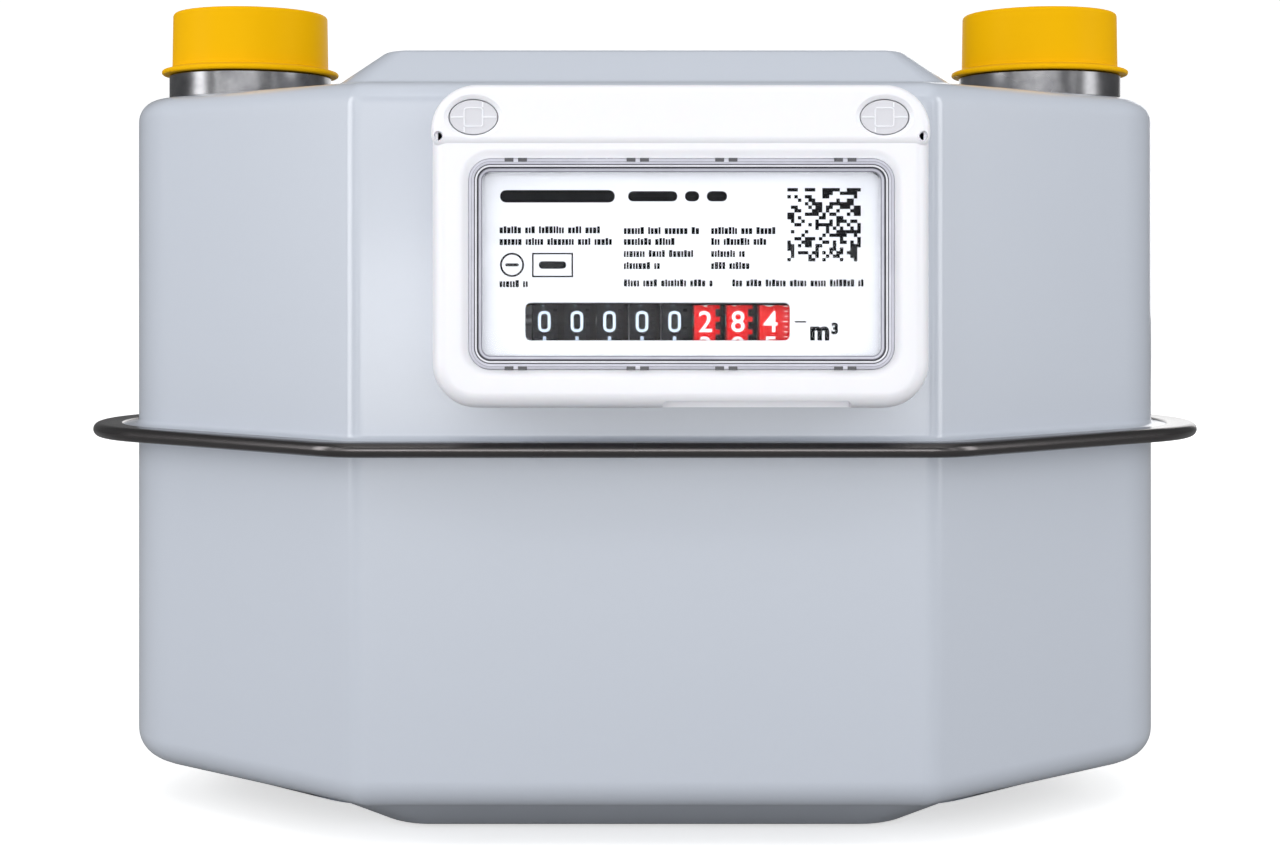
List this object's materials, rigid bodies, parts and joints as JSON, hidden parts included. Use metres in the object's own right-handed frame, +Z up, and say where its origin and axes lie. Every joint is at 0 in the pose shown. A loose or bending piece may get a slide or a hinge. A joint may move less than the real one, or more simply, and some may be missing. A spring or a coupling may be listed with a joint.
{
  "type": "gas meter",
  "caption": "Diaphragm gas meter: two-part pressed steel case with crimped seam band, capped threaded spouts and a boxed drum counter with clear window.",
  "frame": {"origin": "centre of the base of the bounding box", "axes": "+X to the right seen from the index, -Y towards the index's face, +Z up along the spouts"},
  "size_m": [0.3462, 0.1942, 0.244],
  "materials": {
    "casing_paint": "pale blue-grey enamel over steel, satin",
    "seal_rubber": "matte",
    "band_steel": "satin rolled strip",
    "spout_steel": "turned, bright",
    "cap_plastic": "moulded polyethylene, soft sheen",
    "index_plastic": "moulded, fine texture",
    "window_clear": "clear moulded window",
    "dial_paint": "printed white plate",
    "plug_plastic": "moulded, matte",
    "drum_black": "black drum with pale digits",
    "drum_red": "red drum with white digits",
    "zinc_steel": "zinc plated",
    "inner_plastic": "natural acetal",
    "valve_plastic": "lapped phenolic",
    "brass_parts": "machined",
    "magnet": "sintered",
    "cast_aluminium": "die cast",
    "diaphragm_cloth": "coated cloth, matte"
  },
  "bodies": {
    "casing": {"upper_casing": "casing_paint", "lower_casing": "casing_paint", "casing_gasket": "seal_rubber", "crimp_band": "band_steel", "inlet_spout": "spout_steel", "outlet_spout": "spout_steel", "index_base": "index_plastic", "base_rivets": "zinc_steel", "index_cover": "index_plastic", "index_window": "window_clear", "dial_plate": "dial_paint", "left_tamper_plug": "plug_plastic", "right_tamper_plug": "plug_plastic", "index_screws": "zinc_steel", "counter_frame": "inner_plastic", "drum_shaft": "zinc_steel", "pinion_shaft": "zinc_steel", "shaft_gland": "brass_parts", "measuring_body": "cast_aluminium", "front_pan_cover": "cast_aluminium", "rear_pan_cover": "cast_aluminium", "front_diaphragm": "diaphragm_cloth", "rear_diaphragm": "diaphragm_cloth", "gallery_plate": "cast_aluminium", "valve_seat": "valve_plastic", "crank_bridge": "zinc_steel", "outlet_duct": "cast_aluminium"},
    "crank": {"crank_spindle": "zinc_steel", "valve_rotor": "inner_plastic", "crown_gear": "inner_plastic", "crank_arm": "zinc_steel"},
    "drive_train": {"drive_shaft": "zinc_steel", "drive_pinion": "inner_plastic", "index_pinion": "brass_parts"},
    "arbor": {"index_arbor": "brass_parts", "contrate_wheel": "brass_parts"},
    "front_flag": {"front_flag_rod": "zinc_steel"},
    "rear_flag": {"rear_flag_rod": "zinc_steel"},
    "front_link": {"front_link": "inner_plastic"},
    "rear_link": {"rear_link": "inner_plastic"},
    "front_plates": {"front_diaphragm_plates": "zinc_steel"},
    "rear_plates": {"rear_diaphragm_plates": "zinc_steel"},
    "inlet_cap": {"inlet_cap": "cap_plastic"},
    "outlet_cap": {"outlet_cap": "cap_plastic"},
    "drum_1": {"drum_1": "drum_black"},
    "drum_2": {"drum_2": "drum_black"},
    "drum_3": {"drum_3": "drum_black"},
    "drum_4": {"drum_4": "drum_black"},
    "drum_5": {"drum_5": "drum_black"},
    "drum_6": {"drum_6": "drum_red"},
    "drum_7": {"drum_7": "drum_red"},
    "drum_8": {"drum_8": "drum_red", "pulse_magnet": "magnet"},
    "transfer_pinion_1": {"transfer_pinion_1": "inner_plastic"},
    "transfer_pinion_2": {"transfer_pinion_2": "inner_plastic"},
    "transfer_pinion_3": {"transfer_pinion_3": "inner_plastic"},
    "transfer_pinion_4": {"transfer_pinion_4": "inner_plastic"},
    "transfer_pinion_5": {"transfer_pinion_5": "inner_plastic"},
    "transfer_pinion_6": {"transfer_pinion_6": "inner_plastic"},
    "transfer_pinion_7": {"transfer_pinion_7": "inner_plastic"}
  },
  "joints": [
    {"name": "crank_turn", "type": "hinge", "parent": "casing", "child": "crank", "pos_m": [-0.03, 0.00885, 0.15], "axis": [0, 0, -1], "continuous": true},
    {"name": "drive_shaft_turn", "type": "hinge", "parent": "casing", "child": "drive_train", "pos_m": [-0.03, -0.03115, 0.1635], "axis": [0, 1, 0], "continuous": true},
    {"name": "arbor_turn", "type": "hinge", "parent": "casing", "child": "arbor", "pos_m": [0, -0.07965, 0.1635], "axis": [1, 0, 0], "continuous": true},
    {"name": "drum_1_turn", "type": "hinge", "parent": "casing", "child": "drum_1", "pos_m": [-0.0268, -0.07965, 0.1495], "axis": [-1, 0, 0], "continuous": true},
    {"name": "drum_2_turn", "type": "hinge", "parent": "casing", "child": "drum_2", "pos_m": [-0.01813, -0.07965, 0.1495], "axis": [-1, 0, 0], "continuous": true},
    {"name": "drum_3_turn", "type": "hinge", "parent": "casing", "child": "drum_3", "pos_m": [-0.00946, -0.07965, 0.1495], "axis": [-1, 0, 0], "continuous": true},
    {"name": "drum_4_turn", "type": "hinge", "parent": "casing", "child": "drum_4", "pos_m": [-0.00079, -0.07965, 0.1495], "axis": [-1, 0, 0], "continuous": true},
    {"name": "drum_5_turn", "type": "hinge", "parent": "casing", "child": "drum_5", "pos_m": [0.00788, -0.07965, 0.1495], "axis": [-1, 0, 0], "continuous": true},
    {"name": "drum_6_turn", "type": "hinge", "parent": "casing", "child": "drum_6", "pos_m": [0.01655, -0.07965, 0.1495], "axis": [-1, 0, 0], "continuous": true},
    {"name": "drum_7_turn", "type": "hinge", "parent": "casing", "child": "drum_7", "pos_m": [0.02522, -0.07965, 0.1495], "axis": [-1, 0, 0], "continuous": true},
    {"name": "drum_8_turn", "type": "hinge", "parent": "casing", "child": "drum_8", "pos_m": [0.03389, -0.07965, 0.1495], "axis": [-1, 0, 0], "continuous": true},
    {"name": "transfer_pinion_1_turn", "type": "hinge", "parent": "casing", "child": "transfer_pinion_1", "pos_m": [-0.02246, -0.07472, 0.13597], "axis": [-1, 0, 0], "continuous": true},
    {"name": "transfer_pinion_2_turn", "type": "hinge", "parent": "casing", "child": "transfer_pinion_2", "pos_m": [-0.01379, -0.07472, 0.13597], "axis": [-1, 0, 0], "continuous": true},
    {"name": "transfer_pinion_3_turn", "type": "hinge", "parent": "casing", "child": "transfer_pinion_3", "pos_m": [-0.00513, -0.07472, 0.13597], "axis": [-1, 0, 0], "continuous": true},
    {"name": "transfer_pinion_4_turn", "type": "hinge", "parent": "casing", "child": "transfer_pinion_4", "pos_m": [0.00354, -0.07472, 0.13597], "axis": [-1, 0, 0], "continuous": true},
    {"name": "transfer_pinion_5_turn", "type": "hinge", "parent": "casing", "child": "transfer_pinion_5", "pos_m": [0.01222, -0.07472, 0.13597], "axis": [-1, 0, 0], "continuous": true},
    {"name": "transfer_pinion_6_turn", "type": "hinge", "parent": "casing", "child": "transfer_pinion_6", "pos_m": [0.02089, -0.07472, 0.13597], "axis": [-1, 0, 0], "continuous": true},
    {"name": "transfer_pinion_7_turn", "type": "hinge", "parent": "casing", "child": "transfer_pinion_7", "pos_m": [0.02956, -0.07472, 0.13597], "axis": [-1, 0, 0], "continuous": true},
    {"name": "front_flag_swing", "type": "hinge", "parent": "casing", "child": "front_flag", "pos_m": [-0.092, -0.00015, 0.1], "axis": [0, 0, 1], "range_deg": [-10.4, 10.4]},
    {"name": "rear_flag_swing", "type": "hinge", "parent": "casing", "child": "rear_flag", "pos_m": [-0.092, 0.01785, 0.1], "axis": [0, 0, 1], "range_deg": [0, 20.8]},
    {"name": "front_link_turn", "type": "hinge", "parent": "front_flag", "child": "front_link", "pos_m": [-0.06471, -0.02744, 0.171], "axis": [0, 0, 1], "range_deg": [-10.5, 10.5]},
    {"name": "rear_link_turn", "type": "hinge", "parent": "rear_flag", "child": "rear_link", "pos_m": [-0.06021, 0.03974, 0.171], "axis": [0, 0, 1], "range_deg": [-20.9, 0]},
    {"name": "front_diaphragm_travel", "type": "slide", "parent": "casing", "child": "front_plates", "axis": [0, 1, 0], "range_m": [-0.0145, 0.0145], "deforming": ["front_diaphragm"]},
    {"name": "rear_diaphragm_travel", "type": "slide", "parent": "casing", "child": "rear_plates", "axis": [0, 1, 0], "range_m": [0, 0.029], "deforming": ["rear_diaphragm"]},
    {"name": "inlet_cap_lift", "type": "slide", "parent": "casing", "child": "inlet_cap", "axis": [0, 0, 1], "range_m": [0, 0.08]},
    {"name": "outlet_cap_lift", "type": "slide", "parent": "casing", "child": "outlet_cap", "axis": [0, 0, 1], "range_m": [0, 0.08]}
  ],
  "couplings": [
    {"joint": "drive_shaft_turn", "follows": "crank_turn", "ratio": 2.5},
    {"joint": "arbor_turn", "follows": "crank_turn", "ratio": 0.5},
    {"joint": "drum_1_turn", "follows": "crank_turn", "ratio": 0.00000002},
    {"joint": "drum_2_turn", "follows": "crank_turn", "ratio": 0.0000002},
    {"joint": "drum_3_turn", "follows": "crank_turn", "ratio": 0.000002},
    {"joint": "drum_4_turn", "follows": "crank_turn", "ratio": 0.00002},
    {"joint": "drum_5_turn", "follows": "crank_turn", "ratio": 0.0002},
    {"joint": "drum_6_turn", "follows": "crank_turn", "ratio": 0.002},
    {"joint": "drum_7_turn", "follows": "crank_turn", "ratio": 0.02},
    {"joint": "drum_8_turn", "follows": "crank_turn", "ratio": 0.2},
    {"joint": "transfer_pinion_1_turn", "follows": "crank_turn", "ratio": -0.00000005},
    {"joint": "transfer_pinion_2_turn", "follows": "crank_turn", "ratio": -0.0000005},
    {"joint": "transfer_pinion_3_turn", "follows": "crank_turn", "ratio": -0.000005},
    {"joint": "transfer_pinion_4_turn", "follows": "crank_turn", "ratio": -0.00005},
    {"joint": "transfer_pinion_5_turn", "follows": "crank_turn", "ratio": -0.0005},
    {"joint": "transfer_pinion_6_turn", "follows": "crank_turn", "ratio": -0.005},
    {"joint": "transfer_pinion_7_turn", "follows": "crank_turn", "ratio": -0.05},
    {"joint": "front_link_turn", "follows": "front_flag_swing", "ratio": -1},
    {"joint": "rear_link_turn", "follows": "rear_flag_swing", "ratio": -1},
    {"joint": "front_diaphragm_travel", "follows": "front_flag_swing", "m_per_rad": 0.0795},
    {"joint": "rear_diaphragm_travel", "follows": "rear_flag_swing", "m_per_rad": 0.0795}
  ]
}
